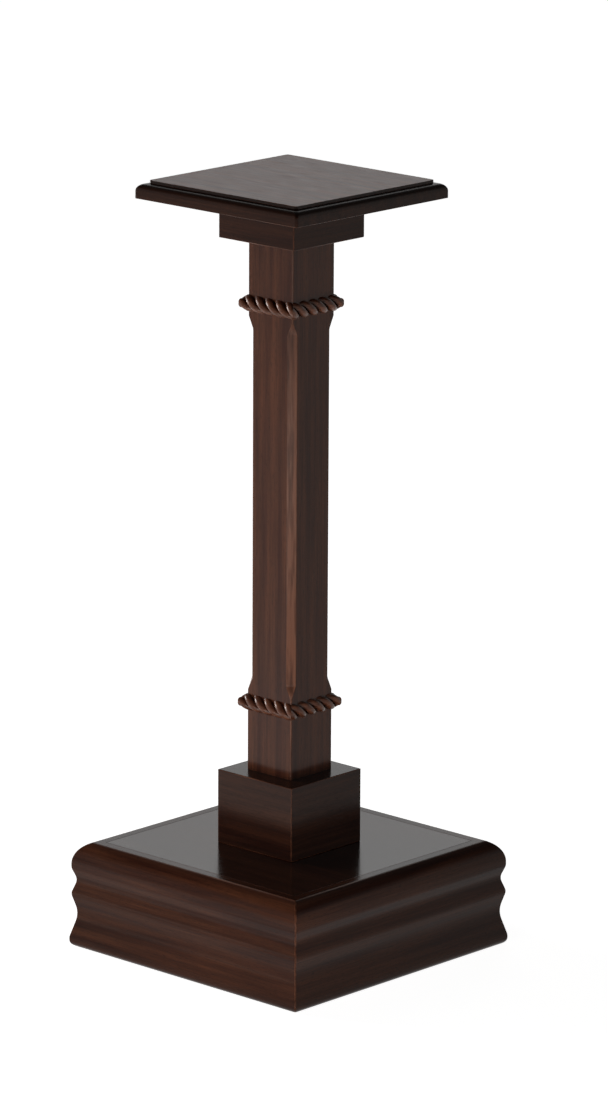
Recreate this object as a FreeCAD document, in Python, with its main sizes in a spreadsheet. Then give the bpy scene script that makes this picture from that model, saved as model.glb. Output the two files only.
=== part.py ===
import FreeCAD, Part
import math
import os
import re
import Sketcher

# Square wooden pedestal column stand. Millimetres, +Z up, origin on the floor under the column's axis.
# Every four-sided course (capital, column, rope bands, plinth, base) is made of four mitred pieces:
# each is drawn once, facing +X, and turned about the column's axis onto its own side.

V = FreeCAD.Vector
UP = V(0, 0, 1)

# Driving dimensions: alias, value and what it measures.
SIZES = {
    "total_height": (914.4, "floor to display surface"),
    "top_width": (254.4, "top board, across its widest"),
    "top_thickness": (21.1, "top board"),
    "top_step_drop": (3.4, "step round the display surface, depth"),
    "top_step_ledge": (3.3, "step round the display surface, ledge width"),
    "top_ovolo": (8.5, "top board's edge rounding"),
    "arris": (0.8, "easing of outside corners"),
    "capital_height": (45.6, "strips under the top board"),
    "capital_thickness": (24.0, "strips under the top board"),
    "column_width": (69.8, "square column, face to face"),
    "stave_thickness": (15.5, "boards of the hollow column"),
    "chamfer_leg": (8.0, "stop chamfer, measured along a face"),
    "chamfer_run": (17.0, "length over which the chamfer dies out"),
    "chamfer_bend": (12.0, "easing radius where the chamfer leaves its run-out"),
    "chamfer_gap": (2.5, "full square left between rope band and chamfer"),
    "block_play": (0.2, "glue gap round the column's end blocks"),
    "head_block_length": (70.0, "block inside the column's head"),
    "foot_block_length": (80.0, "block inside the column's foot"),
    "rope_radius": (10.25, "rope moulding, radius of the round"),
    "rope_projection": (8.2, "rope moulding, how far it stands off the column"),
    "rope_lay": (48.0, "length of one turn of a strand"),
    "strand_count": (3, "strands in the rope"),
    "strand_radius": (4.7, "one strand"),
    "upper_rope_drop": (76.2, "capital's underside down to the middle of the upper band"),
    "lower_rope_rise": (81.8, "plinth's top up to the middle of the lower band"),
    "plinth_height": (88.9, "boards round the column's foot"),
    "plinth_thickness": (24.3, "boards round the column's foot"),
    "base_height": (127.0, "floor to the top of the base"),
    "base_width": (365.8, "base, toe to toe"),
    "moulding_stock": (31.2, "thickness the base moulding is run from"),
    "upper_nose": (2.0, "upper round, set back from the toe"),
    "upper_nose_drop": (30.7, "top of the base down to the upper round's sharp corner"),
    "ovolo_radius": (27.0, "big quarter round under the arris"),
    "ovolo_run": (17.7, "quarter round's sharp corner in to the arris"),
    "ovolo_drop": (8.8, "top of the base down to the quarter round's sharp corner"),
    "nose_radius": (13.0, "small rounds of the moulding"),
    "upper_cove_depth": (7.15, "upper cove's sharp corner, set back from the toe"),
    "upper_cove_drop": (45.0, "top of the base down to the upper cove's sharp corner"),
    "upper_cove_radius": (15.0, "upper cove"),
    "bead": (1.5, "bead's sharp corner, set back from the toe"),
    "bead_drop": (61.8, "top of the base down to the bead's sharp corner"),
    "lower_cove_depth": (8.1, "lower cove's sharp corner, set back from the toe"),
    "lower_cove_lift": (2.5, "lower cove's sharp corner, above midway between toe and bead"),
    "lower_cove_radius": (38.0, "lower cove"),
    "toe_height": (11.8, "floor up to the toe's sharp corner"),
    "toe_radius": (8.0, "rounding under the toe"),
    "deck_thickness": (19.0, "panel that closes the base"),
    "deck_play": (0.3, "joint line round the deck"),
    "cleat_width": (20.0, "strips that carry the deck, across"),
    "cleat_height": (20.0, "strips that carry the deck, upright"),
    "corner_block_leg": (38.0, "glue blocks in the base's corners, each way"),
    "corner_block_chamfer": (16.0, "glue blocks, inner corner taken off"),
    "corner_block_lift": (12.0, "floor to the glue blocks"),
    "screw_radius": (2.0, "top screws' shanks"),
    "screw_head_radius": (4.0, "top screws' countersunk heads"),
    "screw_length": (60.0, "screws up through the capital into the top"),
    "bolt_radius": (4.75, "lag bolt up through the deck into the column's foot block"),
    "bolt_length": (75.0, "lag bolt, under its head"),
    "bolt_head_flats": (14.3, "lag bolt's head, across its flats"),
    "bolt_head_height": (6.2, "lag bolt's head"),
    "washer_radius": (12.7, "washer under the lag bolt's head"),
    "washer_thickness": (2.0, "washer under the lag bolt's head"),
    "pilot_play": (0.05, "holes that a screw or bolt bites in, wider all round"),
    "bolt_play": (0.3, "bolt's way through deck and washer, wider all round"),
    "pilot_room": (1.0, "holes, deeper than a screw or bolt reaches"),
}

# Names for places that several pieces share, each worked out from the sizes above.
PLACES = {
    "column_half": "column_width / 2",
    "bore_half": "column_width / 2 - stave_thickness",
    "top_half": "top_width / 2",
    "top_underside": "total_height - top_thickness",
    "capital_bottom": "total_height - top_thickness - capital_height",
    "capital_half": "column_width / 2 + capital_thickness",
    "plinth_half": "column_width / 2 + plinth_thickness",
    "toe_half": "base_width / 2",
    "well_half": "base_width / 2 - moulding_stock",
    "arris_half": "base_width / 2 - upper_nose - ovolo_run",
    "deck_underside": "base_height - deck_thickness",
    "deck_half": "base_width / 2 - moulding_stock - deck_play",
    "upper_nose_half": "base_width / 2 - upper_nose",
    "upper_rope_middle": "total_height - top_thickness - capital_height - upper_rope_drop",
    "lower_rope_middle": "base_height + plinth_height + lower_rope_rise",
    "bead_height": "base_height - bead_drop",
    "lower_cove_height": "(toe_height + base_height - bead_drop) / 2 + lower_cove_lift",
    "rope_inset": "rope_radius - rope_projection",
    "rope_pitch": "rope_lay / strand_count",
    "screw_reach": "column_width / 2 + capital_thickness / 2",
    "screw_hole": "screw_radius + pilot_play",
    "bolt_way": "bolt_radius + bolt_play",
    "block_inner": "base_width / 2 - moulding_stock - corner_block_leg",
}

SIDES = {"right": 0, "back": 90, "left": 180, "front": 270}
CORNERS = {"back_right": 0, "back_left": 90, "front_left": 180, "front_right": 270}
SCREW_SPOTS = [("screw_reach", "0"), ("0", "screw_reach"), ("-(screw_reach)", "0"), ("0", "-(screw_reach)")]
AXIS_SPOT = [("0", "0")]

CLEAR = 30.0  # how far waste cuts run past the wood
STRAND_SIDES = 12  # flats round one strand of the rope
STRAND_STEP = 30  # degrees of turn between a strand's bends
STRAND_RUNS = 7  # straight runs that carry a strand over the half round
CORE_SHARE = 1.5  # side of the rope's square core, as a share of the strands' distance from its axis

doc = FreeCAD.newDocument("pedestal_column_stand")
sheet = doc.addObject("Spreadsheet::Sheet", "Sizes")
for row, (alias, (size, meaning)) in enumerate(SIZES.items(), start=1):
    sheet.set(f"A{row}", alias)
    sheet.set(f"B{row}", str(size))
    sheet.set(f"C{row}", meaning)
    sheet.setAlias(f"B{row}", alias)
doc.recompute()


def formula(text):
    """A formula in the words of SIZES and PLACES, written out for the sheet's cells."""
    def word(match):
        name = match.group(0)
        if name in PLACES:
            return "(" + formula(PLACES[name]) + ")"
        return "Sizes." + name if name in SIZES else name
    return re.sub(r"[a-z_]+", word, str(text))


def amount(text):
    """The number that such a formula comes to."""
    return float(sheet.evalExpression(formula(text)))


def bind(thing, prop, text):
    """Ties a property to a formula."""
    thing.setExpression(prop, formula(text))


# ---- Sketches -------------------------------------------------------------------------------------


def sketch_on(body, plane, lift="0", turn=0.0):
    """A sketch on one of the body's own planes, lifted off it and turned in it about its upright."""
    sketch = body.newObject("Sketcher::SketchObject", body.Name + "_sketch")
    role = plane + "_Plane"
    support = [one for one in body.Origin.OriginFeatures if one.Role == role][0]
    sketch.AttachmentSupport = (support, [""])
    sketch.MapMode = "FlatFace"
    sketch.AttachmentOffset = FreeCAD.Placement(V(0, 0, 0), FreeCAD.Rotation(V(0, 1, 0), turn))
    bind(sketch, "AttachmentOffset.Base.z", lift)
    return sketch


def hold_point(sketch, geometry, place, across, up):
    """Fixes a point of the sketch at two formulas; a zero sits on the sketch's own axis."""
    for kind, text, axis in (("DistanceX", across, -2), ("DistanceY", up, -1)):
        if amount(text) == 0:
            sketch.addConstraint(Sketcher.Constraint("PointOnObject", geometry, place, axis))
            continue
        index = sketch.addConstraint(
            Sketcher.Constraint(kind, -1, 1, geometry, place, amount(text)))
        name = f"size{index}"
        sketch.renameConstraint(index, name)
        bind(sketch, "Constraints." + name, text)


def rounding(before, corner, after, radius):
    """The arc that rounds a corner: its centre, its two ends, and whether it turns left."""
    way_in = (corner - before).normalize()
    way_out = (after - corner).normalize()
    turn = way_in.getAngle(way_out)
    back = radius * math.tan(turn / 2)
    start = corner - way_in * back
    end = corner + way_out * back
    left = way_in.cross(way_out).z > 0
    aside = UP.cross(way_in) * (radius if left else -radius)
    return start + aside, start, end, left


def outline(sketch, corners):
    """A closed outline: straight runs between corners (across, up, radius), rounded where radius says."""
    count = len(corners)
    points = [V(amount(corner[0]), amount(corner[1]), 0) for corner in corners]
    arcs = [None] * count
    for i, corner in enumerate(corners):
        if len(corner) == 3:
            arcs[i] = rounding(points[i - 1], points[i], points[(i + 1) % count], amount(corner[2]))
    lines = []
    for i in range(count):
        j = (i + 1) % count
        start = arcs[i][2] if arcs[i] else points[i]
        end = arcs[j][1] if arcs[j] else points[j]
        lines.append(sketch.addGeometry(Part.LineSegment(start, end), False))
    for i, corner in enumerate(corners):
        if arcs[i] is None:
            sketch.addConstraint(Sketcher.Constraint("Coincident", lines[i - 1], 2, lines[i], 1))
            hold_point(sketch, lines[i], 1, corner[0], corner[1])
            continue
        centre, start, end, left = arcs[i]
        first, last = (start, end) if left else (end, start)
        angles = [math.atan2(p.y - centre.y, p.x - centre.x) for p in (first, last)]
        circle = Part.Circle(centre, UP, amount(corner[2]))
        arc = sketch.addGeometry(Part.ArcOfCircle(circle, angles[0], angles[1]), False)
        near, far = (1, 2) if left else (2, 1)
        sketch.addConstraint(Sketcher.Constraint("Tangent", lines[i - 1], 2, arc, near))
        sketch.addConstraint(Sketcher.Constraint("Tangent", arc, far, lines[i], 1))
        index = sketch.addConstraint(Sketcher.Constraint("Radius", arc, amount(corner[2])))
        sketch.renameConstraint(index, f"radius{index}")
        bind(sketch, f"Constraints.radius{index}", corner[2])
        sharp = sketch.addGeometry(Part.Point(points[i]), True)
        sketch.addConstraint(Sketcher.Constraint("PointOnObject", sharp, 1, lines[i - 1]))
        sketch.addConstraint(Sketcher.Constraint("PointOnObject", sharp, 1, lines[i]))
        hold_point(sketch, sharp, 1, corner[0], corner[1])


def circles(sketch, radius, centres):
    """Circles of one radius at the given places."""
    for across, up in centres:
        spot = V(amount(across), amount(up), 0)
        ring = sketch.addGeometry(Part.Circle(spot, UP, amount(radius)), False)
        index = sketch.addConstraint(Sketcher.Constraint("Radius", ring, amount(radius)))
        sketch.renameConstraint(index, f"radius{index}")
        bind(sketch, f"Constraints.radius{index}", radius)
        hold_point(sketch, ring, 3, across, up)


# ---- Features -------------------------------------------------------------------------------------


def new_body(label, turn=0):
    """An empty body for one piece, turned about the column's axis."""
    body = doc.addObject("PartDesign::Body", label)
    body.Label = label
    body.Placement = FreeCAD.Placement(V(0, 0, 0), FreeCAD.Rotation(UP, turn))
    return body


def pad(body, sketch, length, both_ways=False):
    """Stock as long as the formula says, from the sketch or to both sides of it."""
    feature = body.newObject("PartDesign::Pad", body.Name + "_pad")
    feature.Profile = sketch
    feature.SideType = "Symmetric" if both_ways else "One side"
    bind(feature, "Length", length)
    return feature


def cut_through(body, sketch):
    """Takes the sketch's outline out of the whole piece, both ways."""
    feature = body.newObject("PartDesign::Pocket", body.Name + "_cut")
    feature.Profile = sketch
    feature.SideType = "Symmetric"
    feature.Type = "ThroughAll"
    return feature


def bore(body, bottom, radius, centres, depth):
    """Plain holes straight up from the given height."""
    sketch = sketch_on(body, "XY", bottom)
    circles(sketch, radius, centres)
    feature = body.newObject("PartDesign::Pocket", body.Name + "_bore")
    feature.Profile = sketch
    feature.Reversed = True
    bind(feature, "Length", depth)
    return feature


def countersink(body, bottom, centres, depth):
    """Screw holes straight up, each with a conical seat for the head at its mouth."""
    sketch = sketch_on(body, "XY", bottom)
    circles(sketch, "screw_hole", centres)
    doc.recompute()
    feature = body.newObject("PartDesign::Hole", body.Name + "_hole")
    feature.Profile = sketch
    feature.Reversed = True
    feature.DepthType = "Dimension"
    feature.DrillPoint = "Flat"
    feature.HoleCutType = "Countersink"
    feature.HoleCutCustomValues = True
    feature.HoleCutCountersinkAngle = 90.0
    bind(feature, "Diameter", "2 * screw_hole")
    bind(feature, "Depth", depth)
    bind(feature, "HoleCutDiameter", "2 * (screw_head_radius + pilot_play)")
    return feature


def mitre(body, reach):
    """Cuts both ends of a side's piece along the diagonals through the axis."""
    far = f"{reach} + {CLEAR}"
    sketch = sketch_on(body, "XY")
    outline(sketch, [("0", "0"), (far, far), ("0", far)])
    outline(sketch, [("0", "0"), ("0", f"-({far})"), (far, f"-({far})")])
    return cut_through(body, sketch)


# ---- Top ------------------------------------------------------------------------------------------


def top_edge(half):
    """Right half of the top board's section, from its underside up to the display surface."""
    return [
        (f"{half}", "top_underside", "arris"),
        (f"{half}", "total_height - top_step_drop", "top_ovolo"),
        (f"{half} - top_ovolo - top_step_ledge", "total_height - top_step_drop"),
        (f"{half} - top_ovolo - top_step_ledge", "total_height", "arris / 2"),
    ]


def mirrored(corners):
    """The same corners on the other side of the axis, in the opposite order."""
    return [(f"-({corner[0]})",) + tuple(corner[1:]) for corner in reversed(corners)]


def top_board():
    """A board with the same moulded edge on all four sides, its moulding meeting in mitres."""
    body = new_body("top_board")
    section = top_edge("top_half")
    along = sketch_on(body, "XZ")
    outline(along, section + mirrored(section))
    pad(body, along, "top_width", both_ways=True)
    waste = sketch_on(body, "YZ")
    outline(waste, section + mirrored(section))
    far = f"top_half + {CLEAR}"
    low = f"top_underside - {CLEAR}"
    high = f"total_height + {CLEAR}"
    outline(waste, [(far, low), (far, high), (f"-({far})", high), (f"-({far})", low)])
    cut_through(body, waste)
    bore(body, "top_underside", "screw_hole", SCREW_SPOTS, "screw_length - capital_height + pilot_room")
    return body


def wrap_board(label, turn, inner, outer, bottom, height):
    """One upright mitred board round the column's axis, its outside corners eased."""
    body = new_body(label, turn)
    plan = sketch_on(body, "XY", bottom)
    outline(plan, [
        (inner, f"-({inner})"),
        (f"{outer} - arris / 2", f"-({outer} - arris / 2)"),
        (outer, f"-({outer} - arris)"),
        (outer, f"{outer} - arris"),
        (f"{outer} - arris / 2", f"{outer} - arris / 2"),
        (inner, inner),
    ])
    pad(body, plan, height)
    return body


def capital_strip(name, turn):
    """A strip under the top board, with the screw that holds the top."""
    body = wrap_board(f"capital_strip_{name}", turn, "column_half", "capital_half",
                      "capital_bottom", "capital_height")
    countersink(body, "capital_bottom", SCREW_SPOTS[:1], "capital_height")
    return body


def plinth_board(name, turn):
    """A board glued round the column's foot, standing on the deck."""
    return wrap_board(f"plinth_board_{name}", turn, "column_half", "plinth_half",
                      "base_height", "plinth_height")


# ---- Column ---------------------------------------------------------------------------------------


def column_stave(name, turn):
    """One mitred board of the hollow column, with its half of two stop chamfers."""
    body = wrap_board(f"column_stave_{name}", turn, "bore_half", "column_half",
                      "base_height", "top_underside - base_height")
    corner = "column_half * sqrt(2)"
    floor = f"{corner} - chamfer_leg / sqrt(2)"
    foot = "lower_rope_middle + rope_radius + chamfer_gap"
    head = "upper_rope_middle - rope_radius - chamfer_gap"
    out = f"{corner} + {CLEAR}"
    slope = f"chamfer_run * {CLEAR} / (chamfer_leg / sqrt(2))"
    for side in (45.0, -45.0):
        waste = sketch_on(body, "XZ", turn=side)
        outline(waste, [
            (floor, f"{foot} + chamfer_run", "chamfer_bend"),
            (out, f"{foot} - {slope}"),
            (out, f"{head} + {slope}"),
            (floor, f"{head} - chamfer_run", "chamfer_bend"),
        ])
        cut_through(body, waste)
    return body


def end_block(label, bottom, length):
    """A square block glued inside one end of the hollow column."""
    body = new_body(label)
    plan = sketch_on(body, "XY", bottom)
    half = "bore_half - block_play"
    outline(plan, [(f"-({half})", f"-({half})"), (half, f"-({half})"), (half, half), (f"-({half})", half)])
    pad(body, plan, length)
    return body


def column_blocks():
    """The blocks at the column's head and foot; the lag bolt bites in the foot's."""
    head = end_block("column_head_block", "top_underside - head_block_length", "head_block_length")
    foot = end_block("column_foot_block", "base_height", "foot_block_length")
    bore(foot, "base_height", "bolt_radius + pilot_play", AXIS_SPOT,
         "bolt_length - washer_thickness - deck_thickness + pilot_room")
    return [head, foot]


# ---- Rope mouldings -------------------------------------------------------------------------------


def strand_bar(axis_reach):
    """One strand: a many-sided bar bent round the rope's axis in equal steps of its lay.

    The rope's axis runs along Y at axis_reach from the column's axis."""
    lay = amount("rope_lay")
    radius = amount("strand_radius")
    step = math.radians(STRAND_STEP)
    arm = (amount("rope_radius") - radius) / math.cos(step / 2)
    bends = []
    for k in range(STRAND_RUNS + 1):
        turn = (k - STRAND_RUNS / 2) * step
        bends.append(V(axis_reach + arm * math.cos(turn), -lay * turn / (2 * math.pi), arm * math.sin(turn)))
    along = (bends[1] - bends[0]).normalize()
    middle = (bends[0] + bends[1]) * 0.5
    outward = V(middle.x - axis_reach, 0, middle.z).normalize()
    sideways = along.cross(outward).normalize()
    rim = []
    for i in range(STRAND_SIDES):
        turn = 2 * math.pi * (i + 0.5) / STRAND_SIDES
        rim.append(bends[0] + outward * (radius * math.cos(turn)) + sideways * (radius * math.sin(turn)))
    section = Part.makePolygon(rim + [rim[0]])
    right_corners = 1
    return Part.makePolygon(bends).makePipeShell([section], True, False, right_corners)


def rope_length():
    """One side's length of half-round rope: strands at every pitch, mitred, flat against the column."""
    face = amount("column_half")
    nose = face + amount("rope_projection")
    radius = amount("rope_radius")
    pitch = amount("rope_pitch")
    axis_reach = face - amount("rope_inset")
    bar = strand_bar(axis_reach)
    each_way = math.ceil(nose / pitch) + 1
    strands = []
    for i in range(-each_way, each_way):
        strand = bar.copy()
        strand.translate(V(0, (i + 0.5) * pitch, 0))
        strands.append(strand)
    core_side = (radius - amount("strand_radius")) * CORE_SHARE
    core = Part.makeBox(core_side, 2 * nose, core_side,
                        V(axis_reach - core_side / 2, -nose, -core_side / 2))
    far = nose + CLEAR
    plan = [V(face, -face, -radius), V(far, -far, -radius), V(far, far, -radius), V(face, face, -radius)]
    room = Part.Face(Part.makePolygon(plan + [plan[0]])).extrude(UP * (2 * radius))
    return core.multiFuse(strands).common(room).removeSplitter()


def rope_band(prefix, rope, height):
    """Four equal lengths of rope round the column, their middle at the given height."""
    pieces = []
    for name, turn in SIDES.items():
        piece = doc.addObject("Part::Feature", f"{prefix}_{name}")
        piece.Label = f"{prefix}_{name}"
        piece.Shape = rope
        piece.Placement = FreeCAD.Placement(V(0, 0, 0), FreeCAD.Rotation(UP, turn))
        bind(piece, "Placement.Base.z", height)
        pieces.append(piece)
    return pieces


# ---- Base -----------------------------------------------------------------------------------------


def base_moulding(name, turn):
    """One side of the base: a mitred length of tall moulding run from thick stock."""
    body = new_body(f"base_moulding_{name}", turn)
    section = sketch_on(body, "XZ")
    outline(section, [
        ("well_half", "0"),
        ("toe_half", "0", "toe_radius"),
        ("toe_half", "toe_height", "nose_radius"),
        ("toe_half - lower_cove_depth", "lower_cove_height", "lower_cove_radius"),
        ("toe_half - bead", "bead_height", "nose_radius"),
        ("toe_half - upper_cove_depth", "base_height - upper_cove_drop", "upper_cove_radius"),
        ("upper_nose_half", "base_height - upper_nose_drop", "nose_radius"),
        ("upper_nose_half", "base_height - ovolo_drop", "ovolo_radius"),
        ("arris_half", "base_height"),
        ("well_half + arris / 2", "base_height"),
        ("well_half", "base_height - arris / 2"),
    ])
    pad(body, section, "base_width", both_ways=True)
    mitre(body, "toe_half")
    return body


def base_deck():
    """The panel that closes the base, its top arris eased so that the joint line shows."""
    body = new_body("base_deck")
    plan = sketch_on(body, "XY", "deck_underside")
    half = "deck_half"
    outline(plan, [(f"-({half})", f"-({half})"), (half, f"-({half})"), (half, half), (f"-({half})", half)])
    panel = pad(body, plan, "deck_thickness")
    doc.recompute()
    top_edges = []
    for index, edge in enumerate(panel.Shape.Edges, start=1):
        box = edge.BoundBox
        if box.ZLength < 1e-6 and abs(box.ZMax - amount("base_height")) < 1e-6:
            top_edges.append(f"Edge{index}")
    easing = body.newObject("PartDesign::Chamfer", "base_deck_easing")
    easing.Base = (panel, top_edges)
    bind(easing, "Size", "arris / 2")
    bore(body, "deck_underside", "bolt_way", AXIS_SPOT, "deck_thickness + pilot_room")
    return body


def deck_cleat(name, turn):
    """A strip along one moulding, under the deck, between two corner blocks."""
    body = new_body(f"deck_cleat_{name}", turn)
    section = sketch_on(body, "XZ")
    outline(section, [
        ("well_half - cleat_width", "deck_underside - cleat_height"),
        ("well_half", "deck_underside - cleat_height"),
        ("well_half", "deck_underside"),
        ("well_half - cleat_width", "deck_underside"),
    ])
    pad(body, section, "2 * (block_inner - deck_play)", both_ways=True)
    return body


def corner_block(name, turn):
    """A glue block in one corner of the base, under the deck, its inner corner taken off."""
    body = new_body(f"corner_block_{name}", turn)
    plan = sketch_on(body, "XY", "corner_block_lift")
    outline(plan, [
        ("block_inner + corner_block_chamfer", "block_inner"),
        ("well_half", "block_inner"),
        ("well_half", "well_half"),
        ("block_inner", "well_half"),
        ("block_inner", "block_inner + corner_block_chamfer"),
    ])
    pad(body, plan, "deck_underside - corner_block_lift")
    return body


# ---- Fasteners ------------------------------------------------------------------------------------


def lift_to(thing, place):
    """Sets an upright fastener down at a place, each of its coordinates a formula."""
    for axis, text in zip("xyz", place):
        bind(thing, f"Placement.Base.{axis}", text)


def top_screws():
    """Four countersunk screws, heads flush with the capital's underside, up into the top board."""
    screws = []
    for i, (across, up) in enumerate(SCREW_SPOTS, start=1):
        head = doc.addObject("Part::Cone", f"screw_{i}_head")
        bind(head, "Radius1", "screw_head_radius")
        bind(head, "Radius2", "screw_radius")
        bind(head, "Height", "screw_head_radius - screw_radius")
        shank = doc.addObject("Part::Cylinder", f"screw_{i}_shank")
        bind(shank, "Radius", "screw_radius")
        bind(shank, "Height", "screw_length")
        screw = doc.addObject("Part::Fuse", f"screw_{i}")
        screw.Base = head
        screw.Tool = shank
        lift_to(screw, (across, up, "capital_bottom"))
        screws.append(screw)
    group = doc.addObject("Part::Compound", "top_screws")
    group.Label = "top_screws"
    group.Links = screws
    return group


def lag_bolt():
    """A hexagon-headed bolt up through the washer and the deck into the column's foot block."""
    head = doc.addObject("Part::Prism", "lag_bolt_head")
    head.Polygon = 6
    bind(head, "Circumradius", "bolt_head_flats / sqrt(3)")
    bind(head, "Height", "bolt_head_height")
    shank = doc.addObject("Part::Cylinder", "lag_bolt_shank")
    bind(shank, "Radius", "bolt_radius")
    bind(shank, "Height", "bolt_head_height + bolt_length")
    bolt = doc.addObject("Part::Fuse", "lag_bolt")
    bolt.Label = "lag_bolt"
    bolt.Base = head
    bolt.Tool = shank
    lift_to(bolt, ("0", "0", "deck_underside - washer_thickness - bolt_head_height"))
    return bolt


def bolt_washer():
    """The washer between the lag bolt's head and the deck."""
    body = new_body("bolt_washer")
    plan = sketch_on(body, "XY", "deck_underside - washer_thickness")
    circles(plan, "washer_radius", AXIS_SPOT)
    circles(plan, "bolt_way", AXIS_SPOT)
    pad(body, plan, "washer_thickness")
    return body


# ---- The stand ------------------------------------------------------------------------------------

pieces = [top_board(), base_deck()]
for side, angle in SIDES.items():
    pieces.append(capital_strip(side, angle))
    pieces.append(column_stave(side, angle))
    pieces.append(plinth_board(side, angle))
    pieces.append(base_moulding(side, angle))
    pieces.append(deck_cleat(side, angle))
for corner, angle in CORNERS.items():
    pieces.append(corner_block(corner, angle))
pieces += column_blocks()
rope_piece = rope_length()
pieces += rope_band("upper_rope", rope_piece, "upper_rope_middle")
pieces += rope_band("lower_rope", rope_piece, "lower_rope_middle")
pieces += [top_screws(), lag_bolt(), bolt_washer()]
doc.recompute()

for thing in doc.Objects:
    if "Invalid" in thing.State or "Error" in thing.State:
        raise RuntimeError(f"{thing.Name} failed: {thing.State}")
for piece in pieces:
    if piece.Shape.isNull() or not piece.Shape.isValid() or not piece.Shape.Solids:
        raise RuntimeError(f"{piece.Label} has no valid solid")

os.makedirs("parts", exist_ok=True)
for piece in pieces:
    piece.Shape.exportStep(os.path.join("parts", piece.Label + ".step"))
    box = piece.Shape.BoundBox
    print(f"{piece.Label}: {len(piece.Shape.Solids)} solid(s), {piece.Shape.Volume:.0f} mm3, "
          f"{box.XLength:.1f} x {box.YLength:.1f} x {box.ZLength:.1f} mm")
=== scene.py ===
import math

import bpy
from bpy.props import FloatProperty, FloatVectorProperty, IntProperty, PointerProperty
from bpy.types import Operator, Panel, PropertyGroup
from mathutils import Matrix, Vector


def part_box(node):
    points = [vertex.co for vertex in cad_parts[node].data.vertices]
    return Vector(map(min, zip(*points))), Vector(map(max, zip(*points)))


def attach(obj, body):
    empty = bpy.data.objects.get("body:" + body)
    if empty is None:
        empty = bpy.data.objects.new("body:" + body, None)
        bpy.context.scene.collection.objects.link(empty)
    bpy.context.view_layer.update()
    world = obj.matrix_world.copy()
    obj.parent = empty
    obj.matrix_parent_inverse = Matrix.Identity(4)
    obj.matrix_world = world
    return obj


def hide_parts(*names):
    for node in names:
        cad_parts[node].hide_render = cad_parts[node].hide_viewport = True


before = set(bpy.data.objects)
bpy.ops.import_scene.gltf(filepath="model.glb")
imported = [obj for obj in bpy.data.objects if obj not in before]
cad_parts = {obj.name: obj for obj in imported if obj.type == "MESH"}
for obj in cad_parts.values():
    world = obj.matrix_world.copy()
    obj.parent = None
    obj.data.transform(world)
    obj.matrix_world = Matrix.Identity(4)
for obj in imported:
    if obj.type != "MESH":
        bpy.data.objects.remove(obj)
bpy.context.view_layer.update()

bl_info = {
    "name": "Pedestal Column Stand",
    "version": (1, 0, 0),
    "blender": (4, 5, 0),
    "location": "View3D > Sidebar > Stand",
    "description": "Wooden pieces, finishes and studio for a square pedestal column stand",
    "category": "Add Mesh",
}

MM = 0.001
CLOSE = 0.01 * MM  # places this near each other are one place
MERGED = 0.001 * MM  # vertices this near each other are merged
CUT = 0.0001 * MM  # a cut takes vertices this near its plane
SIDES = {"right": 0, "back": 90, "left": 180, "front": 270}
CORNERS = ("back_right", "back_left", "front_left", "front_right")
GRAIN_OF_SIDE = {"right": "Y", "back": "X", "left": "Y", "front": "X"}

# ---- Places read from the frame ------------------------------------------------------------------

TOP_LOW, TOP_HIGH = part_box("top_board")
CAPITAL_LOW, CAPITAL_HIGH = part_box("capital_strip_right")
STAVE_LOW, STAVE_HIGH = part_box("column_stave_right")
PLINTH_LOW, PLINTH_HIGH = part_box("plinth_board_right")
DECK_LOW, DECK_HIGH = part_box("base_deck")
MOULDING_LOW, MOULDING_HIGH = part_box("base_moulding_right")
UPPER_ROPE_LOW, UPPER_ROPE_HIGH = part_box("upper_rope_right")
LOWER_ROPE_LOW, LOWER_ROPE_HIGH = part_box("lower_rope_right")


def linear(hex_colour):
    """An sRGB hex colour as linear red, green and blue."""
    channels = [int(hex_colour[i:i + 2], 16) / 255 for i in (1, 3, 5)]
    return tuple(c / 12.92 if c <= 0.04045 else ((c + 0.055) / 1.055) ** 2.4 for c in channels)


def size(name, millimetres, description):
    """A length that the user can change."""
    return FloatProperty(name=name, default=millimetres * MM, description=description, min=0.0,
                         unit="LENGTH", subtype="DISTANCE", precision=5)


def tint(name, hex_colour, description):
    """A colour that the user can change."""
    return FloatVectorProperty(name=name, default=linear(hex_colour), description=description,
                               subtype="COLOR", size=3, min=0.0, max=1.0)


# ---- Properties ----------------------------------------------------------------------------------


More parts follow.
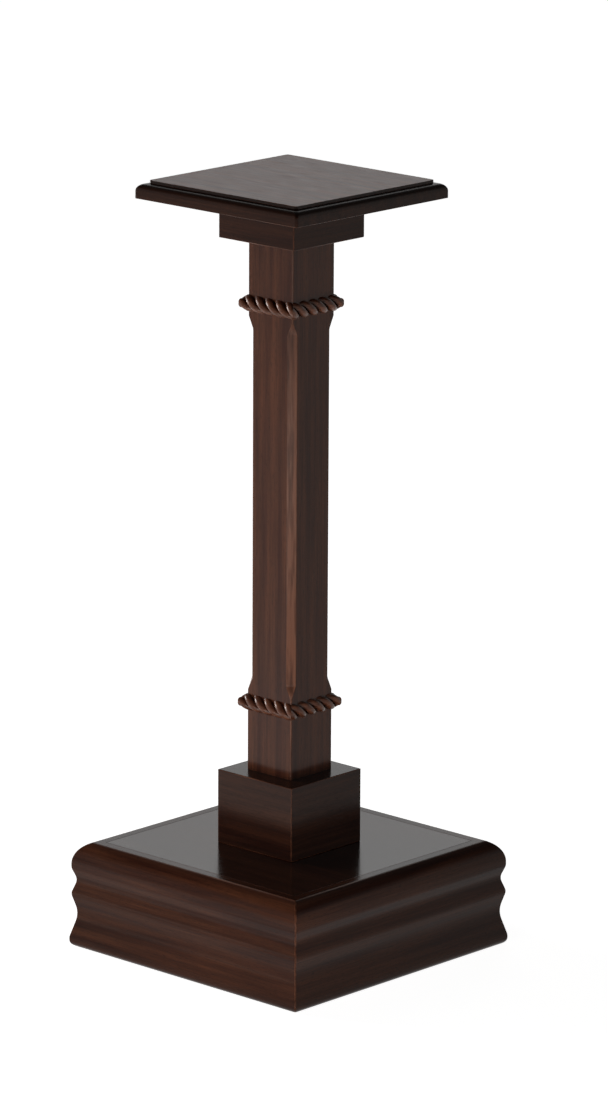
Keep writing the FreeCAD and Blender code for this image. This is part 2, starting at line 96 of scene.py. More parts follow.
class StandShape(PropertyGroup):
    """Sizes of the wooden pieces that the frame's boxes don't give."""

    arris: size("Arris", 1.0, "Rounding of corners where two faces meet")
    glue_line: size("Glue line", 0.03, "Half the width of a mitre's glue line")
    top_ovolo: size("Top ovolo", 8.5, "Quarter round on the top board's edge")
    top_ledge: size("Top ledge", 3.3, "Flat between the ovolo and the step")
    top_corner: size("Top corner", 3.0, "Rounding of the top board's corners in plan")
    top_slope: FloatProperty(name="Top ledge slope", default=0.2, min=0.0, max=0.5,
                             description="Fall of the ledge for each length outwards")
    top_step: size("Top step", 3.4, "Height of the raised display surface")
    chamfer_leg: size("Chamfer", 8.0, "Column chamfer, measured along a face")
    chamfer_run: size("Chamfer run-out", 17.0, "Height over which the chamfer dies out")
    chamfer_bend: size("Chamfer bend", 12.0, "Radius where the chamfer leaves its run-out")
    chamfer_gap: size("Chamfer gap", 2.5, "Full square between a rope band and the chamfer")
    rope_lay: size("Rope lay", 48.0, "Length of one full turn of a strand")
    strand_radius: size("Strand radius", 4.7, "Radius of one strand across its own run")
    strand_count: IntProperty(name="Strands", default=3, min=2, max=6,
                              description="Strands carved in the rope moulding")
    upper_nose: size("Upper nose", 2.0, "Upper round, set back from the toe")
    ovolo_run: size("Ovolo run", 17.7, "Base's quarter round, in to its arris")
    ovolo_drop: size("Ovolo drop", 8.8, "Base's quarter round, sharp corner below the arris")
    ovolo_radius: size("Ovolo radius", 27.0, "Base's big quarter round")
    nose_radius: size("Nose radius", 13.0, "Base's small rounds")
    upper_nose_drop: size("Upper nose drop", 30.7, "Top of the base down to the upper round")
    upper_cove_depth: size("Upper cove depth", 7.15, "Upper cove, set back from the toe")
    upper_cove_drop: size("Upper cove drop", 45.0, "Top of the base down to the upper cove")
    upper_cove_radius: size("Upper cove radius", 15.0, "Base's upper cove")
    bead: size("Bead", 1.5, "Bead, set back from the toe")
    bead_drop: size("Bead drop", 61.8, "Top of the base down to the bead")
    lower_cove_depth: size("Lower cove depth", 8.1, "Lower cove, set back from the toe")
    lower_cove_height: size("Lower cove height", 41.0, "Floor up to the lower cove")
    lower_cove_radius: size("Lower cove radius", 38.0, "Base's lower cove")
    toe_height: size("Toe height", 11.8, "Floor up to the toe's corner")
    toe_radius: size("Toe radius", 8.0, "Rounding under the toe")


class StandFinish(PropertyGroup):
    """Colours of the stain and of the bare materials inside."""

    stain_dark: tint("Stain, dark", "#38190f", "Stain where the wood takes most of it")
    stain_light: tint("Stain, light", "#56301f", "Stain where the wood takes least of it")
    # On the rope's crests this rubbed colour also stands for a painted highlight.
    rubbed: tint("Rubbed edge", "#80503a", "Stain rubbed back on edges and crests")
    # In the rope's grooves this pooled colour also stands for painted shade.
    pooled_and_shaded: tint("Pooled stain", "#120906", "Stain pooled in pores and grooves")
    sheen: tint("Sheen", "#fff3eb", "Amber cast of the aged lacquer's sheen")
    pine_early: tint("Pine, early wood", "#c7a67c", "Pale bands of the sawn pine inside")
    pine_late: tint("Pine, late wood", "#9a7147", "Dark bands of the sawn pine inside")
    zinc: tint("Zinc plate", "#b9b6ac", "Plated screws, bolt and washer")
    floor: tint("Floor", "#dededc", "Pale studio floor")
    # The chamfers' lightening is rubbed stain with painted light.
    chamfer_rub_and_light: FloatProperty(name="Chamfer rub", default=2.6, min=0.0, max=4.0,
                               description="How far the stain is rubbed back on the chamfers")


def power(name, watts, description):
    """A lamp's power that the user can change."""
    return FloatProperty(name=name, default=watts, description=description, min=0.0,
                         subtype="POWER", unit="POWER")


class StandStudio(PropertyGroup):
    """Light levels of the studio."""

    world_level: FloatProperty(name="World", default=0.06, min=0.0,
                               description="Light from the walls")
    floor_lift: FloatProperty(name="Floor lift", default=0.95, min=0.0,
                              description="Brings the open floor up to white where it is seen")
    back_power: power("Back", 8.0, "Soft box behind, over the top and the deck")
    side_power: power("Side", 66.0, "Soft box at the left, along the left face")
    corner_power: power("Corner", 4.2, "Small soft box near the floor, in front of the corner")
    left_corner_power: power("Left of corner", 5.5,
                             "Small soft box near the floor, left of the corner")
    front_panel_power: power("Front panel", 2.5, "Lit panel on the floor in front")
    near_panel_power: power("Near panel", 1.4,
                            "Small lit panel on the floor, near the front corner")


# ---- Modelling helpers ---------------------------------------------------------------------------


def edit(piece):
    """Selects one piece alone and enters its edit mode."""
    bpy.ops.object.select_all(action="DESELECT")
    bpy.context.view_layer.objects.active = piece
    piece.select_set(True)
    bpy.ops.object.mode_set(mode="EDIT")


def first_section(name, half, height):
    """A level square of a given half width, all selected in edit mode: a piece's first section."""
    bpy.ops.object.select_all(action="DESELECT")
    bpy.ops.mesh.primitive_plane_add(size=2 * half, location=(0, 0, height))
    piece = bpy.context.object
    piece.name = name
    piece.data.name = name
    bpy.ops.object.transform_apply(location=True, rotation=True, scale=True)
    bpy.ops.object.mode_set(mode="EDIT")
    bpy.ops.mesh.select_mode(type="FACE")
    bpy.ops.mesh.select_all(action="SELECT")
    return piece


def next_section(rise, widen):
    """Extrudes the selected section, lifts it by a rise and widens it about the axis."""
    bpy.ops.mesh.extrude_region_move(TRANSFORM_OT_translate={"value": (0, 0, rise)})
    bpy.ops.transform.resize(value=(widen, widen, 1), center_override=(0, 0, 0))


def square_block(name, profile):
    """A closed block of square sections that follow a profile of (half width, height) points."""
    half, height = profile[0]
    block = first_section(name, half, height)
    for next_half, next_height in profile[1:]:
        next_section(next_height - height, next_half / half)
        half, height = next_half, next_height
    bpy.ops.mesh.select_all(action="SELECT")
    bpy.ops.mesh.normals_make_consistent(inside=False)
    return block


def ease_arrises(block, radius, sharpness):
    """Rounds every edge sharper than an angle, and marks the rounded faces as rubbed.

    The bevel gives its new faces the second of two empty material slots, which tells them apart."""
    for slot in range(2):
        block.data.materials.append(None)
    bpy.ops.mesh.select_all(action="DESELECT")
    bpy.ops.mesh.select_mode(type="EDGE")
    bpy.ops.mesh.edges_select_sharp(sharpness=math.radians(sharpness))
    bpy.ops.mesh.bevel(offset=radius, segments=3, affect="EDGES", clamp_overlap=True, material=1)
    bpy.ops.object.mode_set(mode="OBJECT")
    rubbed = block.data.attributes.new("arris", "FLOAT", "FACE")
    for face in block.data.polygons:
        rubbed.data[face.index].value = face.material_index
        face.material_index = 0
    bpy.ops.object.mode_set(mode="EDIT")


def round_corners(block, radius):
    """Rounds a square block's four corners in plan, all the way up its profile."""
    bpy.ops.mesh.select_all(action="DESELECT")
    bpy.ops.mesh.select_mode(type="EDGE")
    bpy.ops.object.mode_set(mode="OBJECT")
    places = [vertex.co for vertex in block.data.vertices]
    on_diagonal = [abs(abs(place.x) - abs(place.y)) < CLOSE for place in places]
    for edge in block.data.edges:
        low, high = edge.vertices
        same_corner = places[low].x * places[high].x > 0 and places[low].y * places[high].y > 0
        edge.select = on_diagonal[low] and on_diagonal[high] and same_corner
    bpy.ops.object.mode_set(mode="EDIT")
    bpy.ops.mesh.bevel(offset=radius, segments=4, affect="EDGES", clamp_overlap=True)


def cut_off(place, normal):
    """Cuts the piece at a plane, closes it there and drops what lies behind the plane."""
    bpy.ops.mesh.select_all(action="SELECT")
    bpy.ops.mesh.bisect(plane_co=place, plane_no=normal, use_fill=True, clear_inner=True,
                        threshold=CUT)


def clean_up(smooth_angle):
    """Merges doubles, turns the faces outwards, shades smooth by angle and keeps flats flat."""
    bpy.ops.mesh.select_all(action="SELECT")
    bpy.ops.mesh.remove_doubles(threshold=MERGED)
    bpy.ops.mesh.normals_make_consistent(inside=False)
    bpy.ops.mesh.select_all(action="DESELECT")
    bpy.ops.object.mode_set(mode="OBJECT")
    bpy.ops.object.shade_smooth_by_angle(angle=math.radians(smooth_angle))
    bpy.ops.object.modifier_add(type="WEIGHTED_NORMAL")
    weighting = bpy.context.object.modifiers[-1]
    weighting.keep_sharp = True
    bpy.ops.object.modifier_apply(modifier=weighting.name)


def copy_of(piece, name):
    """A copy of a piece with its own mesh."""
    twin = piece.copy()
    twin.data = piece.data.copy()
    twin.name = name
    twin.data.name = name
    bpy.context.collection.objects.link(twin)
    return twin


def side_of(block, name, turn, inner):
    """One mitred side of a block: the quarter that faces that way, outside its inner face."""
    piece = copy_of(block, name)
    edit(piece)
    spin = Matrix.Rotation(math.radians(turn), 3, "Z")
    glue = spin @ Vector((bpy.context.scene.stand_shape.glue_line * math.sqrt(2), 0, 0))
    cut_off(glue, spin @ Vector((1, 1, 0)))
    cut_off(glue, spin @ Vector((1, -1, 0)))
    cut_off(spin @ Vector((inner, 0, 0)), spin @ Vector((1, 0, 0)))
    clean_up(smooth_angle=30)
    return piece


def four_sides(block, prefix, inner, finishes):
    """Cuts a block into its four mitred sides, each standing for its CAD node."""
    bpy.ops.object.mode_set(mode="OBJECT")
    for side, turn in SIDES.items():
        piece = side_of(block, f"{prefix}_{side}_wood", turn, inner)
        stand_for(piece, f"{prefix}_{side}", finishes[GRAIN_OF_SIDE[side]])
    bpy.data.objects.remove(block)


def stand_for(piece, node, finish):
    """Gives a finished piece its material and its body, and hides the CAD node that it stands for.
    """
    piece.data.materials.clear()
    piece.data.materials.append(finish)
    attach(piece, "root")
    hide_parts(node)


ARC_STEP = 5  # degrees from one point of an arc to the next


def rounded(corners):
    """Profile points from corners (half width, height[, radius]), with an arc for each radius."""
    points = []
    for i, corner in enumerate(corners):
        place = Vector(corner[:2])
        if len(corner) == 2:
            points.append(tuple(place))
            continue
        radius = corner[2]
        way_in = (place - Vector(corners[i - 1][:2])).normalized()
        way_out = (Vector(corners[i + 1][:2]) - place).normalized()
        turn = math.atan2(way_in.x * way_out.y - way_in.y * way_out.x, way_in.dot(way_out))
        start = place - way_in * radius * math.tan(abs(turn) / 2)
        left = Vector((-way_in.y, way_in.x))
        centre = start + left * math.copysign(radius, turn)
        steps = max(2, round(math.degrees(abs(turn)) / ARC_STEP))
        for k in range(steps + 1):
            points.append(tuple(centre + Matrix.Rotation(turn * k / steps, 2) @ (start - centre)))
    return points


# ---- Finishes ------------------------------------------------------------------------------------


def add_node(tree, kind, inputs=None, **settings):
    """Adds a shader node: its settings, and its inputs as values or links by name or number."""
    shader = tree.nodes.new(kind)
    for name, setting in settings.items():
        setattr(shader, name, setting)
    for name, source in (inputs or {}).items():
        if isinstance(source, bpy.types.NodeSocket):
            tree.links.new(source, shader.inputs[name])
        else:
            shader.inputs[name].default_value = source
    return shader


def new_material(name):
    """A material with an empty node tree."""
    material = bpy.data.materials.new(name)
    material.use_nodes = True
    material.node_tree.nodes.clear()
    return material


# Inputs of a Mix node that mixes colours, and its output.
FACTOR, UNDER, OVER = 0, 6, 7
MIXED = 2

# Walnut finishes: grain axis, how light the stain is made, roughness and face-on mirror of the
# coat, and whether the piece is carved. The lightness is set per piece: the top's display surface
# is made lighter, a painted light, and the darker copy on the top board's edge, the capital and
# the plinth is painted shade.
WALNUT_FINISHES = {
    "stained_walnut_along_x": ("X", 0.8, 0.17, 0.09, False),
    "stained_walnut_along_y": ("Y", 0.8, 0.17, 0.09, False),
    "stained_walnut_along_z": ("Z", 1.0, 0.2, 0.15, False),
    "twice_stained_walnut_along_x": ("X", 0.48, 0.17, 0.1, False),
    "twice_stained_walnut_along_y": ("Y", 0.48, 0.17, 0.1, False),
    "carved_walnut_along_x": ("X", 1.2, 0.24, 0.22, True),
    "carved_walnut_along_y": ("Y", 1.2, 0.24, 0.22, True),
    "lacquered_walnut_deck": ("X", 0.5, 0.13, 0.18, False),
    "waxed_walnut_top": ("X", 2.8, 0.42, 0.18, False),
}

# Marks in walnut: how wide and how long each is in millimetres, and how much fine detail it has.
WALNUT_MARKS = {
    "figure": (11, 230, 4.0),
    "rings": (2.4, 160, 2.0),
    "fibre": (0.9, 34, 2.0),
    "pores": (0.45, 8, 1.0),
    "clouds": (55, 140, 2.0),
    "scuffs": (5, 60, 2.0),
}
PINE_MARKS = {"rings": (5, 400, 1.0), "fuzz": (0.8, 9, 2.0)}
ZINC_MARKS = {"patches": (2.5, 2.5, 3.0)}


def drawn_marks(tree, marks, axis):
    """Noise for each kind of mark, drawn out along the grain, which lies along an axis."""
    place = add_node(tree, "ShaderNodeTexCoord").outputs["Object"]
    drawn = {}
    for name, (across, along, detail) in marks.items():
        scale = tuple(1 / (MM * (along if axis == one else across)) for one in "XYZ")
        stretched = add_node(tree, "ShaderNodeMapping", {"Vector": place, "Scale": scale})
        noise = add_node(tree, "ShaderNodeTexNoise",
                         {"Vector": stretched.outputs["Vector"], "Scale": 1.0, "Detail": detail})
        drawn[name] = noise.outputs["Fac"]
    return drawn


def stained_walnut(name, axis, stain_tone_and_painted_light, roughness, mirror, carved):
    """Walnut, planed or carved, stained dark and lacquered. The stain's lightness is set per piece,
    which paints light on the top's display surface and shade on the top board's edge, the capital
    and the plinth.

    The eye sees redder and darker streaks along the grain, fine dark pores, arrises where the stain
    is rubbed back, and a sheen that the pores break up. On carved pieces the crests are lighter,
    rubbed stain with a painted highlight, and the grooves darker, pooled stain with painted shade.
    The lacquer is thin and sits in the grain, so it mirrors less face-on than a thick varnish does."""
    finish = bpy.context.scene.stand_finish
    dark, light = ((*(stain_tone_and_painted_light * channel for channel in stain), 1)
                   for stain in (finish.stain_dark, finish.stain_light))
    tree = new_material(name).node_tree
    marks = drawn_marks(tree, WALNUT_MARKS, axis)
    taken = add_node(tree, "ShaderNodeMapRange",
                     {"Value": marks["figure"], "From Min": 0.34, "From Max": 0.66})
    stain = add_node(tree, "ShaderNodeMix",
                     {FACTOR: taken.outputs[0], UNDER: dark, OVER: light},
                     data_type="RGBA")
    for mark, depth in (("rings", 0.16), ("fibre", 0.12), ("clouds", 0.12)):
        shade = add_node(tree, "ShaderNodeMapRange",
                         {"Value": marks[mark], "From Min": 0.3, "From Max": 0.7,
                          "To Min": 1 - depth, "To Max": 1 + depth})
        stain = add_node(tree, "ShaderNodeMix",
                         {FACTOR: 1.0, UNDER: stain.outputs[MIXED], OVER: shade.outputs[0]},
                         data_type="RGBA", blend_type="MULTIPLY")
    pores = add_node(tree, "ShaderNodeMapRange",
                     {"Value": marks["pores"], "From Min": 0.60, "From Max": 0.72, "To Max": 0.6})
    stain = add_node(tree, "ShaderNodeMix",
                     {FACTOR: pores.outputs[0], UNDER: stain.outputs[MIXED],
                      OVER: (*finish.pooled_and_shaded, 1)},
                     data_type="RGBA")
    raised = add_node(tree, "ShaderNodeAttribute",
                      attribute_name="crest" if carved else "arris").outputs["Fac"]
    # Carved: grooves darkened, pooled stain with painted shade; crests lightened, rubbed stain with
    # a painted highlight.
    if carved:
        groove_pool_and_shade = add_node(tree, "ShaderNodeMapRange",
                          {"Value": raised, "From Max": 0.45, "To Min": 0.9, "To Max": 0.0})
        stain = add_node(tree, "ShaderNodeMix",
                         {FACTOR: groove_pool_and_shade.outputs[0], UNDER: stain.outputs[MIXED],
                          OVER: (*finish.pooled_and_shaded, 1)},
                         data_type="RGBA")
        raised = add_node(tree, "ShaderNodeMapRange",
                          {"Value": raised, "From Min": 0.4, "From Max": 0.9,
                           "To Max": 1.4}).outputs[0]
    scuffed = add_node(tree, "ShaderNodeMapRange",
                       {"Value": marks["scuffs"], "From Min": 0.35, "From Max": 0.65,
                        "To Min": 0.1, "To Max": 0.6})
    # Chamfers: rubbed stain with painted light, strongest below their middle.
    worn_and_lit = add_node(tree, "ShaderNodeAttribute", attribute_name="chamfer").outputs["Fac"]
    raised = add_node(tree, "ShaderNodeMath", {0: raised, 1: worn_and_lit}, operation="MAXIMUM").outputs[0]
    rubbed = add_node(tree, "ShaderNodeMath", {0: raised, 1: scuffed.outputs[0]},
                      operation="MULTIPLY")
    stain = add_node(tree, "ShaderNodeMix",
                     {FACTOR: rubbed.outputs[0], UNDER: stain.outputs[MIXED],
                      OVER: (*finish.rubbed, 1)},
                     data_type="RGBA")
    rough = add_node(tree, "ShaderNodeMapRange",
                     {"Value": marks["fibre"], "From Min": 0.3, "From Max": 0.7,
                      "To Min": roughness * 0.85, "To Max": roughness * 1.2})
    sunk = add_node(tree, "ShaderNodeBump",
                    {"Height": pores.outputs[0], "Strength": 0.3, "Distance": 0.08 * MM},
                    invert=True)
    surface = add_node(tree, "ShaderNodeBsdfPrincipled",
                       {"Base Color": stain.outputs[MIXED], "Roughness": rough.outputs[0],
                        "Normal": sunk.outputs["Normal"], "IOR": 1.5,
                        "Specular Tint": (*finish.sheen, 1), "Specular IOR Level": mirror})
    add_node(tree, "ShaderNodeOutputMaterial", {"Surface": surface.outputs["BSDF"]})


def sawn_pine(name):
    """Pine, sawn and left bare inside: pale bands, darker late wood and a dull, fuzzy face."""
    finish = bpy.context.scene.stand_finish
    tree = new_material(name).node_tree
    marks = drawn_marks(tree, PINE_MARKS, "Z")
    late = add_node(tree, "ShaderNodeMapRange",
                    {"Value": marks["rings"], "From Min": 0.45, "From Max": 0.62})
    wood = add_node(tree, "ShaderNodeMix",
                    {FACTOR: late.outputs[0], UNDER: (*finish.pine_early, 1),
                     OVER: (*finish.pine_late, 1)},
                    data_type="RGBA")
    fuzz = add_node(tree, "ShaderNodeBump",
                    {"Height": marks["fuzz"], "Strength": 0.4, "Distance": 0.2 * MM})
    surface = add_node(tree, "ShaderNodeBsdfPrincipled",
                       {"Base Color": wood.outputs[MIXED], "Roughness": 0.8,
                        "Normal": fuzz.outputs["Normal"]})
    add_node(tree, "ShaderNodeOutputMaterial", {"Surface": surface.outputs["BSDF"]})


def zinc_plated_steel(name):
    """Steel, zinc plated in a barrel: a grey metal whose gloss clouds over in small patches."""
    finish = bpy.context.scene.stand_finish
    tree = new_material(name).node_tree
    marks = drawn_marks(tree, ZINC_MARKS, "Z")
    rough = add_node(tree, "ShaderNodeMapRange",
                     {"Value": marks["patches"], "From Min": 0.3, "From Max": 0.7,
                      "To Min": 0.25, "To Max": 0.5})
    surface = add_node(tree, "ShaderNodeBsdfPrincipled",
                       {"Base Color": (*finish.zinc, 1), "Metallic": 1.0,
                        "Roughness": rough.outputs[0]})
    add_node(tree, "ShaderNodeOutputMaterial", {"Surface": surface.outputs["BSDF"]})


# ---- Wooden pieces -------------------------------------------------------------------------------


class STAND_OT_finishes(Operator):
    """Make the finishes that the pieces share"""

    bl_idname = "stand.finishes"
    bl_label = "Finishes"

    def execute(self, context):
        for name, finish in WALNUT_FINISHES.items():
            stained_walnut(name, *finish)
        sawn_pine("sawn_pine")
        zinc_plated_steel("zinc_plated_steel")
        return {"FINISHED"}


def walnut(axis, coat="stained"):
    """The walnut of a coat with its grain along an axis: stained, carved, or the darker copy that
    is painted shade.
    """
    return bpy.data.materials[f"{coat}_walnut_along_{axis.lower()}"]


class STAND_OT_top(Operator):
    """Make the top board: an ovolo on its edge, a ledge and a raised display surface"""

    bl_idname = "stand.top"
    bl_label = "Top board"

    def execute(self, context):
        shape = context.scene.stand_shape
        half = TOP_HIGH.x
        ledge = half - shape.top_ovolo
        step = ledge - shape.top_ledge
        shoulder = TOP_HIGH.z - shape.top_step
        profile = rounded([
            (half, TOP_LOW.z),
            (half, shoulder - (half - step) * shape.top_slope, shape.top_ovolo),
            (step, shoulder),
            (step, TOP_HIGH.z),
        ])
        board = square_block("top_board_wood", profile)
        round_corners(board, shape.top_corner)
        ease_arrises(board, shape.arris * 0.5, sharpness=33)
        clean_up(smooth_angle=30)
        # Edge in darker walnut, painted shade; display surface in lighter waxed walnut, painted
        # light.
        stand_for(board, "top_board", walnut("X", "twice_stained"))
        board.data.materials.append(bpy.data.materials["waxed_walnut_top"])
        for face in board.data.polygons:
            face.material_index = int(face.center.z > TOP_HIGH.z - CLOSE)
        return {"FINISHED"}


def wrap_column(prefix, low, high):
    """Wraps the column in four mitred boards, given the corners of the right board's box."""
    block = square_block(f"{prefix}_block", [(high.x, low.z), (high.x, high.z)])
    ease_arrises(block, bpy.context.scene.stand_shape.arris, sharpness=60)
    # The capital and the plinth take the darker walnut, which is painted shade.
    four_sides(block, prefix, STAVE_HIGH.x,
               {axis: walnut(axis, "twice_stained") for axis in "XY"})


class STAND_OT_capital(Operator):
    """Make the four mitred strips under the top board"""

    bl_idname = "stand.capital"
    bl_label = "Capital"

    def execute(self, context):
        wrap_column("capital_strip", CAPITAL_LOW, CAPITAL_HIGH)
        return {"FINISHED"}


class STAND_OT_plinth(Operator):
    """Make the four mitred boards round the column's foot"""

    bl_idname = "stand.plinth"
    bl_label = "Plinth"

    def execute(self, context):
        wrap_column("plinth_board", PLINTH_LOW, PLINTH_HIGH)
        return {"FINISHED"}


# Lightening of the chamfers, rubbed stain with painted light that fades up and down the column:
# steps that carry it, the height where it is greatest and how far off it ends, both as shares of
# the chamfer's length.
WEAR_AND_LIGHT_LEVELS = 8
WEAR_AND_LIGHT_MIDDLE = 0.33
WEAR_AND_LIGHT_REACH = 0.8

# A face of a chamfer by its normal: x and y as alike as the first, and no steeper than the second.
DIAGONAL = 0.05
UPRIGHT = 0.7


class STAND_OT_column(Operator):
    """Make the column's four staves, with a stop chamfer on each corner"""

    bl_idname = "stand.column"
    bl_label = "Column"

    def chamfer_profile(self, shape):
        """Heights up the column, each with the chamfer's leg there."""
        rope_radius = (UPPER_ROPE_HIGH.z - UPPER_ROPE_LOW.z) / 2
        foot = LOWER_ROPE_LOW.z + 2 * rope_radius + shape.chamfer_gap
        head = UPPER_ROPE_LOW.z - shape.chamfer_gap
        depth = shape.chamfer_leg / math.sqrt(2)
        eased = shape.arris / math.sqrt(2)
        run_out = rounded([
            (eased, foot + shape.chamfer_run * eased / depth),
            (depth, foot + shape.chamfer_run, shape.chamfer_bend),
            (depth, head - shape.chamfer_run, shape.chamfer_bend),
            (eased, head - shape.chamfer_run * eased / depth),
        ])
        low, high = foot + 2 * shape.chamfer_run, head - 2 * shape.chamfer_run
        straight = [(depth, low + (high - low) * i / WEAR_AND_LIGHT_LEVELS) for i in range(WEAR_AND_LIGHT_LEVELS + 1)]
        levels = [(eased, STAVE_LOW.z), *run_out, *straight, (eased, STAVE_HIGH.z)]
        levels.sort(key=lambda level: level[1])
        return [(height, cut * math.sqrt(2)) for cut, height in levels]

    def execute(self, context):
        shape = context.scene.stand_shape
        levels = self.chamfer_profile(shape)
        half = STAVE_HIGH.x
        height, leg = levels[0]
        block = first_section("column_block", half, height)
        bpy.ops.mesh.select_mode(type="VERT")
        bpy.ops.mesh.bevel(offset=leg, segments=1, affect="VERTICES", clamp_overlap=False)
        bpy.ops.mesh.select_mode(type="FACE")
        bpy.ops.mesh.select_all(action="SELECT")
        for next_height, next_leg in levels[1:]:
            rise = (0, 0, next_height - height)
            bpy.ops.mesh.extrude_region_move(TRANSFORM_OT_translate={"value": rise})
            self.set_leg(block, half, next_height, leg, next_leg)
            height, leg = next_height, next_leg
        bpy.ops.mesh.select_all(action="SELECT")
        bpy.ops.mesh.normals_make_consistent(inside=False)
        ease_arrises(block, shape.arris * 0.3, sharpness=30)
        four_sides(block, "column_stave", STAVE_LOW.x,
                   {axis: walnut("Z") for axis in "XY"})
        for side in SIDES:
            self.wear_and_light_chamfers(bpy.data.objects[f"column_stave_{side}_wood"])
        return {"FINISHED"}

    def set_leg(self, block, half, height, leg, next_leg):
        """Moves the newest section's corners along their faces, from one chamfer leg to another."""
        if math.isclose(next_leg, leg):
            return
        factor = (half - next_leg) / (half - leg)
        bpy.ops.mesh.select_mode(type="VERT")
        for axis, value in ((0, (1, factor, 1)), (1, (factor, 1, 1))):
            bpy.ops.mesh.select_all(action="DESELECT")
            bpy.ops.object.mode_set(mode="OBJECT")
            for vertex in block.data.vertices:
                on_face = abs(abs(vertex.co[axis]) - half) < CLOSE
                vertex.select = on_face and abs(vertex.co.z - height) < CLOSE
            bpy.ops.object.mode_set(mode="EDIT")
            bpy.ops.transform.resize(value=value, center_override=(0, 0, 0))
        bpy.ops.mesh.select_all(action="DESELECT")
        bpy.ops.mesh.select_mode(type="FACE")
        bpy.ops.object.mode_set(mode="OBJECT")
        for face in block.data.polygons:
            rises = [block.data.vertices[i].co.z - height for i in face.vertices]
            face.select = all(abs(rise) < CLOSE for rise in rises)
        bpy.ops.object.mode_set(mode="EDIT")

    def wear_and_light_chamfers(self, stave):
        """Marks how much lighter the chamfers are, most below their middle: rubbed stain with
        painted light.
        """
        mesh = stave.data
        wear = mesh.attributes.new("chamfer", "FLOAT", "CORNER")
        rub = bpy.context.scene.stand_finish.chamfer_rub_and_light
        for face in mesh.polygons:
            diagonal = abs(abs(face.normal.x) - abs(face.normal.y)) < DIAGONAL
            outside = face.center.xy.length > STAVE_HIGH.x
            if not (diagonal and outside and abs(face.normal.z) < UPRIGHT):
                continue
            for corner in face.loop_indices:
                rise = mesh.vertices[mesh.loops[corner].vertex_index].co.z
                share = (rise - LOWER_ROPE_HIGH.z) / (UPPER_ROPE_LOW.z - LOWER_ROPE_HIGH.z)
                off = (share - WEAR_AND_LIGHT_MIDDLE) / WEAR_AND_LIGHT_REACH
                wear.data[corner].value = rub * max(0.0, 1 - off ** 2)


class STAND_OT_base(Operator):
    """Make the base: four mitred lengths of tall moulding and the deck between them"""

    bl_idname = "stand.base"
    bl_label = "Base"

    def execute(self, context):
        shape = context.scene.stand_shape
        toe = MOULDING_HIGH.x
        top = MOULDING_HIGH.z
        nose = toe - shape.upper_nose
        under_toe = (toe - 3 * shape.toe_radius, MOULDING_LOW.z)
        profile = rounded([
            under_toe,
            (toe, MOULDING_LOW.z, shape.toe_radius),
            (toe, shape.toe_height, shape.nose_radius),
            (toe - shape.lower_cove_depth, shape.lower_cove_height, shape.lower_cove_radius),
            (toe - shape.bead, top - shape.bead_drop, shape.nose_radius),
            (toe - shape.upper_cove_depth, top - shape.upper_cove_drop, shape.upper_cove_radius),
            (nose, top - shape.upper_nose_drop, shape.nose_radius),
            (nose, top - shape.ovolo_drop, shape.ovolo_radius),
            (nose - shape.ovolo_run, top),
        ])
        # The first point only gives the toe's arc its way in: the block's own underside is flat.
        block = square_block("moulding_block", profile[1:])
        ease_arrises(block, shape.arris * 1.5, sharpness=24)
        four_sides(block, "base_moulding", MOULDING_LOW.x,
                   {axis: walnut(axis) for axis in "XY"})
        deck = square_block("base_deck_wood",
                            [(DECK_HIGH.x, DECK_LOW.z), (DECK_HIGH.x, DECK_HIGH.z)])
        ease_arrises(deck, shape.arris * 0.5, sharpness=60)
        clean_up(smooth_angle=30)
        stand_for(deck, "base_deck", bpy.data.materials["lacquered_walnut_deck"])
        return {"FINISHED"}


LOBE_POINTS = 24  # points round one strand's share of the rope's section
ROPE_STEP = 0.8 * MM  # distance between two sections along the rope
ROPE_SPARE = 2 * MM  # how far the stick runs past its mitres


